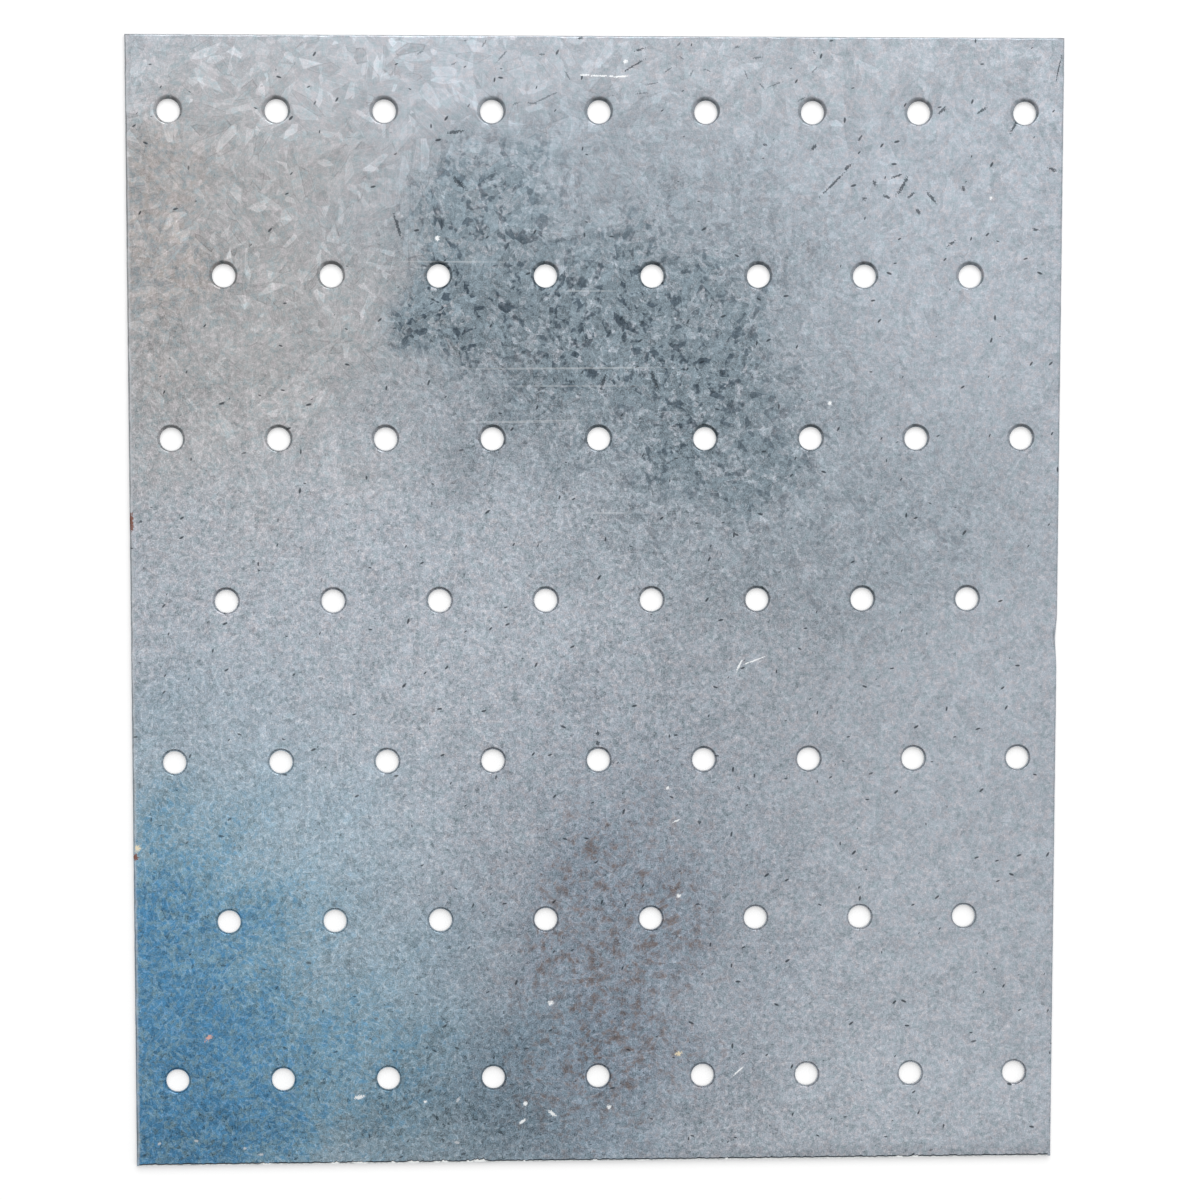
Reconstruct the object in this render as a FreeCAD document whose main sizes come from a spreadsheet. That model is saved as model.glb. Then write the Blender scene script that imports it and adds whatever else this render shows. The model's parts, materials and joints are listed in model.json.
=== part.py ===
"""Flat tie plate: a sheared rectangle of zinc coated sheet with a staggered field of punched nail holes.

The origin is the middle of the underside. +Z is up, out of the punched face. +Y runs along the plate.
Rows of holes lie across the plate. Long rows and short rows alternate, and a short row is set over by
half a hole pitch, so the field starts and ends with a long row.
"""

import FreeCAD, Part
import os

import Sketcher

NODE = "tie_plate"
SHEET = "Sizes"

# Name, value in millimetres (or a count) and meaning of each driving dimension
DRIVING_SIZES = (
    ("hole_pitch", 16.66875, "from hole to hole along a row"),
    ("row_pitch", 25.4, "from row to row"),
    ("holes_in_long_row", 9, "count of holes in a long row, one more than in a short row"),
    ("long_rows", 4, "count of long rows, one more than the short rows"),
    ("side_margin", 6.35, "from a long row's last hole to the side edge, as the mean of both sides"),
    ("end_margin", 12.7, "from the last row to the end edge, as the mean of both ends"),
    ("field_shift_across", 0.25, "how far the hole field sits to the right of the plate's middle"),
    ("field_shift_along", 1.0, "how far the hole field sits towards the plate's far end"),
    ("sheet_thickness", 0.91, "the steel with its zinc"),
    ("hole_diameter", 3.57, "across the straight wall that the punch leaves"),
    ("edge_roll", 0.2, "radius that the shear rolled along a cut edge"),
)

# Counts and sizes that follow from the driving dimensions
LONG_ROW_HOLES = "Sizes.holes_in_long_row"
SHORT_ROW_HOLES = "(Sizes.holes_in_long_row - 1)"
LONG_ROWS = "Sizes.long_rows"
SHORT_ROWS = "(Sizes.long_rows - 1)"
FIELD_WIDTH = f"({LONG_ROW_HOLES} - 1) * Sizes.hole_pitch"
FIELD_LENGTH = f"({LONG_ROWS} - 1) * 2 * Sizes.row_pitch"
PLATE_WIDTH = f"{FIELD_WIDTH} + 2 * Sizes.side_margin"
PLATE_LENGTH = f"{FIELD_LENGTH} + 2 * Sizes.end_margin"

# How a constraint names the ends of a line, the centre of a circle and the sketch's origin
START = 1
END = 2
CENTRE = 3
ROOT = (-1, 1)

# The share of one hole's volume by which the finished plate may miss its expected volume
VOLUME_TOLERANCE = 0.01


def vector(x, y, z=0.0):
    return FreeCAD.Vector(x, y, z)


def add_sizes(doc):
    """Spreadsheet with one row for each driving dimension: name, value and meaning."""
    sheet = doc.addObject("Spreadsheet::Sheet", SHEET)
    for row, (name, value, meaning) in enumerate(DRIVING_SIZES, start=1):
        sheet.set(f"A{row}", name)
        sheet.set(f"B{row}", str(value))
        sheet.setAlias(f"B{row}", name)
        sheet.set(f"C{row}", meaning)
    doc.recompute()


def origin_feature(body, role):
    return next(feature for feature in body.Origin.OriginFeatures if feature.Role == role)


def add_underside_sketch(body, name):
    """Sketch on the plane that the plate lies on."""
    sketch = body.newObject("Sketcher::SketchObject", name)
    sketch.AttachmentSupport = [(origin_feature(body, "XY_Plane"), "")]
    sketch.MapMode = "FlatFace"
    return sketch


def constrain(sketch, kind, *where):
    return sketch.addConstraint(Sketcher.Constraint(kind, *where))


def dimension(sketch, name, kind, where, expression):
    """Named dimension that is bound to the spreadsheet and starts at its true size."""
    index = constrain(sketch, kind, *where, sketch.evalExpression(expression))
    sketch.renameConstraint(index, name)
    sketch.setExpression(f"Constraints.{name}", expression)


def add_blank(doc, body):
    """The sheared rectangle, centred on the origin."""
    sketch = add_underside_sketch(body, "blank_outline")
    right = sketch.evalExpression(PLATE_WIDTH) / 2
    far = sketch.evalExpression(PLATE_LENGTH) / 2
    corners = [vector(-right, -far), vector(right, -far), vector(right, far), vector(-right, far)]
    sides = [
        sketch.addGeometry(Part.LineSegment(corner, following))
        for corner, following in zip(corners, corners[1:] + corners[:1])
    ]
    for side, following in zip(sides, sides[1:] + sides[:1]):
        constrain(sketch, "Coincident", side, END, following, START)
    near_end, right_side, far_end, left_side = sides
    for side in (near_end, far_end):
        constrain(sketch, "Horizontal", side)
    for side in (right_side, left_side):
        constrain(sketch, "Vertical", side)
    constrain(sketch, "Symmetric", near_end, START, far_end, START, *ROOT)
    dimension(sketch, "width", "DistanceX", (near_end, START, near_end, END), PLATE_WIDTH)
    dimension(sketch, "length", "DistanceY", (right_side, START, right_side, END), PLATE_LENGTH)
    blank = body.newObject("PartDesign::Pad", "blank")
    blank.Profile = sketch
    blank.setExpression("Length", "Sizes.sheet_thickness")
    doc.recompute()
    return blank


def edge_at(shape, point):
    """Name of the edge that lies nearest to a point."""
    probe = Part.Vertex(point)
    distances = [edge.distToShape(probe)[0] for edge in shape.Edges]
    return f"Edge{distances.index(min(distances)) + 1}"


def add_edge_roll(doc, body, blank):
    """Shear roll along the front of both sides and of the far end, and along the back of the near end.

    The near end was cut with the sheet the other way up, so its front corner stays sharp.
    """
    box = blank.Shape.BoundBox
    middles = [
        vector(box.XMin, 0, box.ZMax),
        vector(box.XMax, 0, box.ZMax),
        vector(0, box.YMax, box.ZMax),
        vector(0, box.YMin, box.ZMin),
    ]
    roll = body.newObject("PartDesign::Fillet", "rolled_edges")
    roll.Base = (blank, [edge_at(blank.Shape, middle) for middle in middles])
    roll.setExpression("Radius", "Sizes.edge_roll")
    doc.recompute()
    return roll


def add_first_hole(doc, body, name, holes_in_row, rows):
    """The near left nail hole of a set of rows, punched right through the sheet.

    The rows are spread evenly about the middle of the hole field, which sits a little off the middle
    of the plate.
    """
    to_middle_across = f"({holes_in_row} - 1) * Sizes.hole_pitch / 2 - Sizes.field_shift_across"
    to_middle_along = f"({rows} - 1) * Sizes.row_pitch - Sizes.field_shift_along"
    sketch = add_underside_sketch(body, f"{name}_outline")
    centre = vector(-sketch.evalExpression(to_middle_across), -sketch.evalExpression(to_middle_along))
    radius = sketch.evalExpression("Sizes.hole_diameter / 2")
    rim = sketch.addGeometry(Part.Circle(centre, vector(0, 0, 1), radius))
    dimension(sketch, "to_middle_across", "DistanceX", (rim, CENTRE, *ROOT), to_middle_across)
    dimension(sketch, "to_middle_along", "DistanceY", (rim, CENTRE, *ROOT), to_middle_along)
    dimension(sketch, "diameter", "Diameter", (rim,), "Sizes.hole_diameter")
    hole = body.newObject("PartDesign::Pocket", name)
    hole.Profile = sketch
    hole.Type = "ThroughAll"
    hole.Reversed = True
    doc.recompute()
    return hole


def add_rows(doc, body, name, hole, holes_in_row, rows):
    """A hole repeated along its row, and that row repeated at every second row's place."""
    field = body.newObject("PartDesign::LinearPattern", name)
    field.Originals = [hole]
    field.Direction = (origin_feature(body, "X_Axis"), [""])
    field.setExpression("Length", f"({holes_in_row} - 1) * Sizes.hole_pitch")
    field.setExpression("Occurrences", holes_in_row)
    field.Direction2 = (origin_feature(body, "Y_Axis"), [""])
    field.setExpression("Length2", f"({rows} - 1) * 2 * Sizes.row_pitch")
    field.setExpression("Occurrences2", rows)
    body.Tip = field
    doc.recompute()
    return field


def check_document(doc):
    for item in doc.Objects:
        if "Invalid" in item.State or "Error" in item.State:
            raise RuntimeError(f"{item.Name} did not build: {item.State}")


def check_plate(shape, blank_volume, hole_volume, hole_count):
    """The plate is one valid solid that has lost the volume of every hole."""
    if shape.isNull() or not shape.isValid() or len(shape.Solids) != 1:
        raise RuntimeError("the plate is not one valid solid")
    expected = blank_volume - hole_count * hole_volume
    if abs(shape.Volume - expected) > VOLUME_TOLERANCE * hole_volume:
        raise RuntimeError(f"the plate's volume is {shape.Volume}, not {expected}")


def main():
    os.makedirs("parts", exist_ok=True)
    doc = FreeCAD.newDocument("TiePlate")
    add_sizes(doc)
    body = doc.addObject("PartDesign::Body", NODE)
    body.Label = NODE
    blank = add_blank(doc, body)
    rolled = add_edge_roll(doc, body, blank)
    long_hole = add_first_hole(doc, body, "long_row_hole", LONG_ROW_HOLES, LONG_ROWS)
    hole_volume = rolled.Shape.Volume - long_hole.Shape.Volume
    long_field = add_rows(doc, body, "long_row_holes", long_hole, LONG_ROW_HOLES, LONG_ROWS)
    short_hole = add_first_hole(doc, body, "short_row_hole", SHORT_ROW_HOLES, SHORT_ROWS)
    short_field = add_rows(doc, body, "short_row_holes", short_hole, SHORT_ROW_HOLES, SHORT_ROWS)
    check_document(doc)
    hole_count = sum(field.Occurrences * field.Occurrences2 for field in (long_field, short_field))
    check_plate(body.Shape, rolled.Shape.Volume, hole_volume, hole_count)
    body.Shape.exportStep(f"parts/{body.Label}.step")
    box = body.Shape.BoundBox
    print(f"{body.Label}: {box.XLength:.3f} by {box.YLength:.3f} by {box.ZLength:.3f} mm, {hole_count} holes")


main()
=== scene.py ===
# %% [markdown]
# # A galvanised tie plate
#
# A tie plate is a flat rectangle of zinc coated sheet steel, sheared to size and punched with a staggered
# field of nail holes. It is nailed over the joint between two timbers. There is only one piece of metal, so
# the lesson is about three things: how a sheared and punched sheet is shaped at its edges, how a zinc coat
# looks up close, and how a soft studio light shows both.
#
# The measured part is loaded first. Its box gives the size of the sheet and its record gives the holes, so
# the lesson repeats no measure that the part already has. Lengths are in millimetres until they go into a
# mesh.

# %% Load the part
import json

import bpy
import numpy as np
from mathutils import Matrix, Vector


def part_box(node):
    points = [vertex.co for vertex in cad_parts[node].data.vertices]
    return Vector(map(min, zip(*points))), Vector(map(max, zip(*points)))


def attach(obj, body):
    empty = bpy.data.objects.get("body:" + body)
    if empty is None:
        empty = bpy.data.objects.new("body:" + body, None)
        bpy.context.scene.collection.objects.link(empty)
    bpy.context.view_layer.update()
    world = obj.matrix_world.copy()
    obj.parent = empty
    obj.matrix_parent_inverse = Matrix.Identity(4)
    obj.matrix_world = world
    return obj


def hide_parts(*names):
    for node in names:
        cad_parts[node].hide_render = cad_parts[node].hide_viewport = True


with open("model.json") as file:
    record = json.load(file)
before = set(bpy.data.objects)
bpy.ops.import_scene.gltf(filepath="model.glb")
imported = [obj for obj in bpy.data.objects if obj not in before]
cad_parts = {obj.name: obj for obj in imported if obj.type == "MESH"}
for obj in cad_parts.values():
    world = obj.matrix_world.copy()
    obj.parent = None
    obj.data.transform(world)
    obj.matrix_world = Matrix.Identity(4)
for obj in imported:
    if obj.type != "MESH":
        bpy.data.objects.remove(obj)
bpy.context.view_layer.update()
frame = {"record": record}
MM = 0.001
low, high = (np.array(corner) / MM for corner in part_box("tie_plate"))
width, length, thickness = high - low
print(f"plate {width:.2f} by {length:.2f} by {thickness:.2f} mm")

# %% [markdown]
# ## Where the holes are
#
# The part's record names every nail hole: the four corner holes as bores, and the rest as rectangles or
# pairs of holes about the middle of the field. Rows of nine and eight holes take turns, so a hole sits over
# the middle of the gap in the row before it. The centres could be worked out again from the pitches, but
# reading them from the record keeps the dressed sheet and the part in step.

# %% Hole centres
def hole_centres(mounts):
    """Centres in millimetres, as rows of x and y: a bore is one hole, and a pattern has a hole at each
    combination of plus and minus half its spacing."""
    centres = set()
    for mount in mounts:
        dims, (x, y, _) = mount["dims"], mount["pos_m"]
        half_x, half_y = (dims.get(f"spacing_{axis}_mm", 0) / 2 for axis in "xy")
        if mount["kind"] in ("bore", "bolt_pattern"):
            centres |= {
                (round(x / MM + side * half_x, 4), round(y / MM + end * half_y, 4))
                for side in (-1, 1) for end in (-1, 1)
            }
    return np.array(sorted(centres))


mounts = frame["record"]["mounts"]
centres = hole_centres(mounts)
hole_radius = next(mount["dims"]["r_mm"] for mount in mounts if mount["kind"] == "bore")
row_heights = np.unique(centres[:, 1])
print(f"{len(centres)} holes of {2 * hole_radius:.2f} mm in {len(row_heights)} rows")

# %% [markdown]
# ## The form of a punched hole
#
# A punch first drags the sheet down, which leaves a rolled lip on the side it enters. Then it shears a
# straight burnished wall. At last the metal tears, and the tear widens towards the back. The section
# through a hole is therefore a short list of radius and height. Drilled cylinders with a bevel would be
# quicker, but they would have the same corner on both faces.

# %% Section through a hole
LIP_DEPTH = 0.36         # how far down the rolled lip goes
LIP_SLOPE = 0.55         # share of that depth that is an even slope, the rest is a round
LIP_STEPS = 8
DISH_DEPTH = 0.03        # how far the sheet is pulled down around the lip
DISH_REACH = 0.10        # share of the tile over which it is
WALL_START = 0.03        # bare steel starts this far under the lip
TEAR_HEIGHT = 0.26       # the torn band at the back
TEAR_FLARE = 0.06
BACK_CORNER = 0.01       # the tear ends in a corner of this height
FRONT_SHARES = np.array([1, 0.75, 0.5, 0.3, 0.2, DISH_REACH, 0.04, 0.012])
BACK_SHARES = np.array([0.02, 0.4, 1])


def hole_section():
    """Rows of share, radius, lip, height and cut, from a tile's front border through the hole to its back.

    A share of 1 is on the tile's border and 0 is on the circle. The lip's width is added to the radius as
    often as the lip says. The cut is 1 where bare steel shows."""
    inwards = np.sin(np.linspace(0, np.pi / 2, LIP_STEPS + 1))
    dish = DISH_DEPTH * np.clip(1 - FRONT_SHARES / DISH_REACH, 0, 1) ** 2
    drop = LIP_DEPTH * (LIP_SLOPE * inwards + (1 - LIP_SLOPE) * (1 - np.sqrt(1 - inwards ** 2)))
    face_height, lip_height = thickness - dish, thickness - DISH_DEPTH - drop
    front = np.c_[FRONT_SHARES, 0 * dish + hole_radius, 0 * dish + 1, face_height, 0 * dish]
    lip = np.c_[0 * drop, 0 * drop + hole_radius, 1 - inwards, lip_height, 0 * drop]
    back_radius = hole_radius + TEAR_FLARE
    wall = [
        [0, hole_radius, 0, thickness - LIP_DEPTH - DISH_DEPTH - WALL_START, 1],
        [0, hole_radius, 0, TEAR_HEIGHT, 1],
        [0, back_radius, 0, BACK_CORNER, 1],
    ]
    back = np.c_[BACK_SHARES, np.full((3, 1), back_radius), np.zeros((3, 3))]
    return np.vstack([front, lip, wall, back])


section = hole_section()
print(f"{len(section)} points along the section through a hole")

# %% [markdown]
# ## Tiles that share their borders
#
# The sheet is laid out as one tile for each hole. Neighbouring tiles have to meet point for point, or the
# sheet would have cracks. All borders that run across the plate therefore use one list of x places, and all
# borders within a row use that row's list of y places. A short row is set over by half a pitch, so its tile
# borders fall on the middles of the long row's tiles.

# %% Places along the borders
EDGE_INSET = 0.6         # the tiles stop this far inside the plate's edge, where the edge strip takes over
STEP = 1.4               # longest distance between points on a border


def between(stops):
    """Evenly spaced places from each stop to the next, no further apart than the step, ends included."""
    runs = [
        np.linspace(start, end, int(np.ceil((end - start) / STEP)), endpoint=False)
        for start, end in zip(stops[:-1], stops[1:])
    ]
    return np.round(np.append(np.concatenate(runs), stops[-1]), 5)


inner_low, inner_high = low[:2] + EDGE_INSET, high[:2] - EDGE_INSET
row_stops = np.r_[inner_low[1], (row_heights[1:] + row_heights[:-1]) / 2, inner_high[1]]
hole_rows = [np.sort(centres[centres[:, 1] == height, 0]) for height in row_heights]
middles = [(row[1:] + row[:-1]) / 2 for row in hole_rows]
across = between(np.r_[inner_low[0], np.unique(np.round(np.concatenate(middles), 4)), inner_high[0]])
along = [between(row_stops[i:i + 2]) for i in range(len(row_heights))]
print(f"{len(across)} places across and {sum(map(len, along))} along")

# %% [markdown]
# ## From a section to a surface
#
# A tile's outer border is a rectangle and its inner border is the hole, so the surface between them is a
# blend from rectangle to circle. It runs over the front, down through the hole and out over the back, as
# one grid of two parameters: around the hole, and along the section. A hole that was cut into a ready sheet
# would leave long thin faces around it, and they would show in a shiny finish.

# %% Grid helpers
def border(xs, ys):
    """Points round a rectangle, turning left, that start at its lowest corner."""
    return np.vstack([
        np.c_[xs[:-1], np.full(len(xs) - 1, ys[0])],
        np.c_[np.full(len(ys) - 1, xs[-1]), ys[:-1]],
        np.c_[xs[:0:-1], np.full(len(xs) - 1, ys[-1])],
        np.c_[np.full(len(ys) - 1, xs[0]), ys[:0:-1]],
    ])


def ring_faces(around, rows, inwards):
    """Four cornered faces of a grid that closes on itself in its first direction."""
    i, j = np.meshgrid(np.arange(around), np.arange(rows - 1), indexing="ij")
    following = (i + 1) % around
    corners = [i * rows + j, following * rows + j, following * rows + j + 1, i * rows + j + 1]
    faces = np.stack(corners if inwards else corners[::-1], axis=-1)
    return faces.reshape(-1, 4)


# %% [markdown]
# ## A tile for each hole
#
# The lip isn't even. It is wider on the far left side of a hole than on the near right side, as if the
# punch hadn't met the sheet quite squarely, and it is wider and more uneven in the far rows than in the
# near ones. A copied hole would miss that, so each tile works out its own lip.

# %% One tile for each hole
LIP_ROWS = (-45, 77)           # the lip changes between rows at these places along the plate
LIP_WIDTH = (0.27, 0.46)       # its mean width there
LIP_LEAN = (0.04, 0.26)        # how much wider it is there on its far side, and narrower on its near side
LEAN_LEFT = 0.3                # share of the lean that goes to the left


def tile(centre, xs, ys):
    """One hole and the sheet around it: every border point is joined to the hole by a copy of the section.

    The lip's width is its mean width plus the lean times how far the point lies to the far left."""
    spoke = border(xs, ys) - centre
    unit = spoke / np.linalg.norm(spoke, axis=1, keepdims=True)
    share, radius, lip = section[:, :1], section[:, 1:2], section[:, 2:3]
    mean_width, lean = (np.interp(centre[1], LIP_ROWS, ends) for ends in (LIP_WIDTH, LIP_LEAN))
    lip_width = mean_width + lean * (unit[:, 1] - LEAN_LEFT * unit[:, 0])
    circle = radius + lip * lip_width[:, None, None]
    flat = centre + unit[:, None] * (1 - share) * circle + spoke[:, None] * share
    upright = np.broadcast_to(section[:, 3:], flat.shape)
    return np.concatenate([flat, upright], axis=2).reshape(-1, 4), ring_faces(len(spoke), len(section), True)


def tiles():
    """Every tile of the plate, row by row."""
    for height, row, middle, ys in zip(row_heights, hole_rows, middles, along):
        stops = np.r_[inner_low[0], middle, inner_high[0]]
        for x, left, right in zip(row, stops[:-1], stops[1:]):
            inside = (across > left - 1e-3) & (across < right + 1e-3)
            yield tile(np.array([x, height]), across[inside], ys)


# %% [markdown]
# ## The sheared edges
#
# A shear works like a punch. Where the blade came in from the front, the front corner is rolled over and
# the back corner is torn square. Both sides and the far end were cut that way. The near end was cut with
# the sheet turned over, so its front corner stays sharp. The strip below carries that section round the
# plate. The width of the roll wanders a little, as it does on a real cut, and a knock on the right side has
# pushed the edge in. A bevel modifier would give every edge the same clean round.

# %% Edge strip
ROLL_DEPTH, ROLL_WIDTH, ROLL_WANDER = 0.2, 0.27, 0.09
ROLL_WAVES = (3.1, 4.7, 7.9, 13.0, 31.0)
ROLL_START = 0.05              # the face stays flat up to this far before the roll
CUT_WANDER, CUT_INSET = 0.012, 0.02
CUT_WAVES = (2.9, 3.7, 5.3, 9.1)
SHARP_CORNER = 0.03            # front corner of the near end
NEAR_ROLL_WIDTH = 0.25         # roll of the near end, on its back
TORN_CORNER = 0.04             # back corner of the other edges
KNOCK_PLACE, KNOCK_LENGTH, KNOCK_DEPTH = -5.6, 2.6, 0.26
EDGE_STEPS = 5
loop = border(across, np.r_[np.concatenate([ys[:-1] for ys in along]), along[-1][-1]])
outward = (loop >= inner_high - 1e-3).astype(float) - (loop <= inner_low + 1e-3)
print(f"{len(loop)} points round the edge")


def wander(place, seed, lengths):
    """Smooth unevenness between about -1 and 1: a sum of waves of the given lengths with random phases."""
    phases = np.random.default_rng(seed).uniform(0, 2 * np.pi, len(lengths))
    waves = [np.sin(2 * np.pi * place / size + phase) for size, phase in zip(lengths, phases)]
    return sum(waves) / np.sqrt(len(lengths))


def edge_strip():
    """The edge, from the tiles' front border over the corner, down the cut and under to their back border.

    Each corner is a quarter of an ellipse. The front one is large and the back one small, and on the near end
    it is the other way round. The knock is a bell shaped dip."""
    near = outward[:, 1] < 0
    place = np.where(outward[:, 0] != 0, loop[:, 1], loop[:, 0])
    uneven_width = ROLL_WIDTH + ROLL_WANDER * wander(place, 3, ROLL_WAVES)
    front_width, front_depth = np.where(near, SHARP_CORNER, [uneven_width, np.full_like(place, ROLL_DEPTH)])
    back_width = np.where(near, NEAR_ROLL_WIDTH, TORN_CORNER)
    back_depth = np.where(near, ROLL_DEPTH, TORN_CORNER)
    knock = KNOCK_DEPTH * np.exp(-((loop[:, 1] - KNOCK_PLACE) / KNOCK_LENGTH) ** 2) * (outward[:, 0] > 0)
    reach = EDGE_INSET + CUT_WANDER * wander(place, 5, CUT_WAVES) - CUT_INSET - knock
    none = np.zeros_like(reach)
    turn = np.linspace(0, np.pi / 2, EDGE_STEPS)
    back_turn = turn[::2]
    offsets = np.c_[
        none,
        reach - front_width - ROLL_START,
        reach[:, None] - front_width[:, None] * (1 - np.sin(turn)),
        reach[:, None] - back_width[:, None] * (1 - np.cos(back_turn)),
        none,
    ]
    heights = np.c_[
        none + thickness,
        none + thickness,
        thickness - front_depth[:, None] * (1 - np.cos(turn)),
        back_depth[:, None] * (1 - np.sin(back_turn)),
        none,
    ]
    cuts = np.r_[np.zeros(1 + len(turn)), np.ones(len(back_turn)), np.zeros(2)]
    flat = loop[:, None] + outward[:, None] * offsets[..., None]
    cut = np.broadcast_to(cuts[:, None], flat.shape[:2] + (1,))
    points = np.concatenate([flat, heights[..., None], cut], axis=2)
    return points.reshape(-1, 4), ring_faces(len(loop), len(cuts), False)


# %% [markdown]
# ## One closed sheet
#
# The tiles and the edge strip are stacked into one long list of points. Points that lie in the same place
# become one, so the sheet is a single closed skin. A boolean of separate solids could do this too, but it
# would cut the even grid to pieces. The volume that is printed is a good test: it is right only if every
# face points outwards.

# %% Build the sheet
SHARP_ANGLE = 40               # faces that meet at more degrees than this keep a crisp edge


def carry(mesh, name, kind, domain, field, values):
    """Store values on the mesh under a name, for the finish to read."""
    data = mesh.attributes.new(name, kind, domain).data
    data.foreach_set(field, np.asarray(values, dtype=np.float32).ravel())


def build(name, pieces, attribute):
    """One object from grids that touch: points that lie in the same place become one. Each point has a fourth
    number, which the mesh keeps as an attribute for the finish."""
    starts = np.cumsum([0] + [len(points) for points, _ in pieces])
    points = np.round(np.vstack([points for points, _ in pieces]), 5)
    faces = np.vstack([faces + start for (_, faces), start in zip(pieces, starts)])
    _, first, index = np.unique(points[:, :3], axis=0, return_index=True, return_inverse=True)
    points = points[first]
    mesh = bpy.data.meshes.new(name)
    mesh.from_pydata(points[:, :3] * MM, [], index.reshape(-1)[faces].tolist())
    carry(mesh, attribute, "FLOAT", "POINT", "value", points[:, 3])
    mesh.shade_smooth()
    mesh.set_sharp_from_angle(angle=np.radians(SHARP_ANGLE))
    mesh.update()
    piece = bpy.data.objects.new(name, mesh)
    bpy.context.scene.collection.objects.link(piece)
    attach(piece, "root")
    mesh.calc_loop_triangles()
    corners = points[np.array([triangle.vertices[:] for triangle in mesh.loop_triangles]), :3]
    volume = np.einsum("ij,ij->i", corners[:, 0], np.cross(corners[:, 1], corners[:, 2])).sum() / 6
    print(f"{name}: {len(points)} points, {len(corners)} triangles, {volume:.1f} cubic mm")
    return piece


sheet = build("punched_sheet", [*tiles(), edge_strip()], "cut")
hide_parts("tie_plate")

# %% [markdown]
# ## The camera
#
# The camera looks almost straight down. Its tilt, and the place of the plate's middle in front of the lens,
# were solved from the plate's four corners and the rows of holes. The plate is first tilted and then moved
# in front of a camera at the origin, and the camera's own place is the reverse of that. The camera is
# usually set up last, but here the places of the marks are read off in its picture.

# %% Camera
TILT_DEG = (5.200, 2.849, 0.206)
PLATE_MIDDLE = (-0.469, -1.049, -550.743)
tilt_x, tilt_y, turn_z = np.radians(TILT_DEG)
view = Matrix.Rotation(turn_z, 4, "Z") @ Matrix.Rotation(tilt_y, 4, "Y") @ Matrix.Rotation(tilt_x, 4, "X")
view = Matrix.Translation(Vector(PLATE_MIDDLE) * MM) @ view @ Matrix.Translation((0, 0, -thickness * MM))
lens = bpy.data.cameras.new("camera")
lens.sensor_width = 36
lens.lens = 105
lens.clip_start = 0.01
camera_place = view.inverted()
camera = bpy.data.objects.new("camera", lens)
camera.matrix_world = camera_place
bpy.context.scene.collection.objects.link(camera)
bpy.context.scene.camera = camera
print("camera at", [round(value / MM, 2) for value in camera.matrix_world.translation])

# %% [markdown]
# ## From the picture to the plate
#
# The marks were read off in the photograph. A pixel there is a direction from the lens, and the mark
# lies where that line of sight meets the front face. Places on the plate could be written down instead, but
# then nobody could check them against the picture.

# %% Places seen in the picture
PICTURE_SIZE = 1200            # pixels along each side of the photograph
focal_length = PICTURE_SIZE * lens.lens / lens.sensor_width
pixel_mm = -PLATE_MIDDLE[2] / focal_length


def on_plate(columns, rows):
    """Where the lines of sight through pixels meet the front face, as rows of x and y in millimetres: the
    lens, plus as much of each line of sight as brings it down to the face."""
    matrix = np.array(camera_place)
    lens_place = matrix[:3, 3] / MM
    half = PICTURE_SIZE / 2
    sight = np.c_[columns - half, half - rows, np.full(len(columns), -focal_length)] @ matrix[:3, :3].T
    reach = (thickness - lens_place[2]) / sight[:, 2]
    return (lens_place + reach[:, None] * sight)[:, :2]


def ovals_of(strokes, slimness=1.0):
    """Ovals on the plate for strokes in the picture. An oval lies midway between the stroke's ends, is turned
    along it, and is at least as long as the stroke is broad. Its breadth is then made slimmer."""
    first_column, first_row, last_column, last_row, breadth = np.array(strokes, dtype=float).T
    first, last = on_plate(first_column, first_row), on_plate(last_column, last_row)
    along = last - first
    half_breadth = breadth * pixel_mm / 2
    half_length = np.maximum(np.hypot(*along.T) / 2, half_breadth)
    turn = np.degrees(np.arctan2(along[:, 1], along[:, 0]))
    return np.c_[(first + last) / 2, half_length, half_breadth * slimness, turn]


print(f"a pixel is {pixel_mm:.3f} mm at the plate's middle")

# %% [markdown]
# ## Marks on the face
#
# Pits, cracks, scratches, rust spots and drag lines are single marks, each in its own place. A painted
# picture could hold them, but it would blur up close. Here each mark is an oval with a place, a size and a
# turn, and each kind of mark has its colour. Most are read as strokes, from end to end. The finest cracks
# and specks have no clear ends, so they are ovals from the start.

# %% Places of the marks
# column and row of the first end and of the last end, and breadth, all in pixels
PITS = [
    (822, 195, 845, 172, 3), (844, 170, 852, 164, 4), (891, 178, 903, 174, 2.5), (897, 195, 908, 177, 4.5),
    (883, 195, 891, 199, 4), (874, 180, 875, 186, 5), (927, 192, 936, 203, 4), (908, 198, 914, 193, 3.5),
    (916, 209, 920, 214, 4.5), (939, 113, 947, 107, 4), (978, 113, 987, 107, 3.5), (1011, 132, 1017, 121, 3),
    (811, 151, 816, 145, 4), (947, 247, 955, 240, 3.5), (1032, 229, 1040, 230, 3.5),
    (1048, 168, 1057, 171, 4), (1056, 81, 1061, 58, 2), (858, 141, 862, 135, 3), (394, 215, 401, 237, 4),
    (448, 133, 464, 131, 4), (453, 176, 465, 189, 6), (600, 392, 606, 373, 4), (651, 371, 659, 391, 4),
    (623, 72, 645, 59, 2.5), (635, 51, 645, 48, 3), (577, 39, 584, 37, 2.5), (765, 145, 765, 145, 4),
    (739, 788, 739, 788, 4), (597.5, 733, 597.5, 734, 4), (597.5, 742, 597.5, 745, 4.3),
    (864, 198, 865, 199, 4.5), (963, 188, 964, 189, 5), (138.5, 522.7, 142.5, 520.8, 3.2),
    (699, 822, 700, 823, 4),
]
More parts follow.
